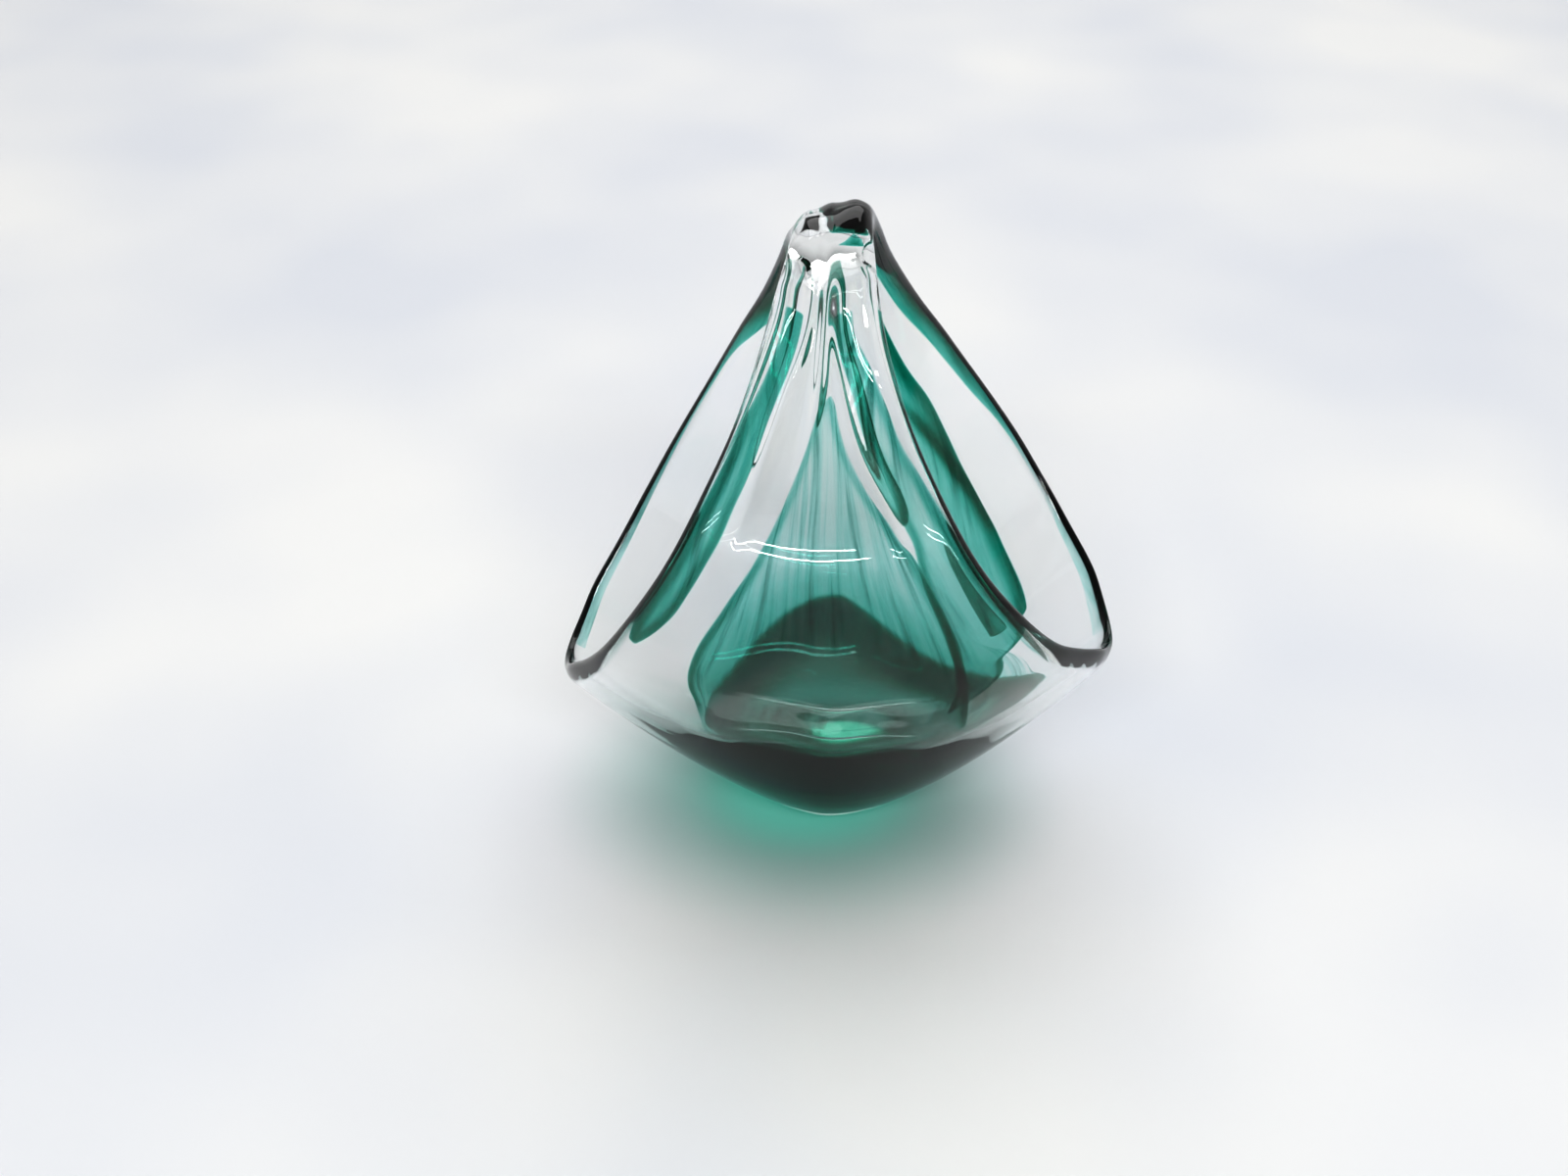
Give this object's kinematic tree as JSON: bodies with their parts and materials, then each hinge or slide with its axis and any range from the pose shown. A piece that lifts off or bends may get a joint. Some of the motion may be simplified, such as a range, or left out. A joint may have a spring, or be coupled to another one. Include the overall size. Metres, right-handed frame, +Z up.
{
  "type": "art glass bowl",
  "caption": "Cased glass basket bowl with a teal layer between clear layers, its front and back walls pulled up and joined in a knob over two side openings",
  "frame": {"origin": "centre of the flat ground on the foot, where the bowl rests", "axes": "+Z up through the knob, X from the lower side tip (-X) to the higher side tip (+X) through both side openings, -Y is the front wall"},
  "size_m": [0.15, 0.0934, 0.1813],
  "materials": {
    "clear_glass": "clear fire-polished glass, outer gather",
    "teal_glass": "teal green transparent glass, cased",
    "lining_glass": "clear fire-polished glass, inner gather"
  },
  "bodies": {
    "root": {"clear_casing": "clear_glass", "teal_layer": "teal_glass", "clear_lining": "lining_glass"}
  },
  "joints": []
}
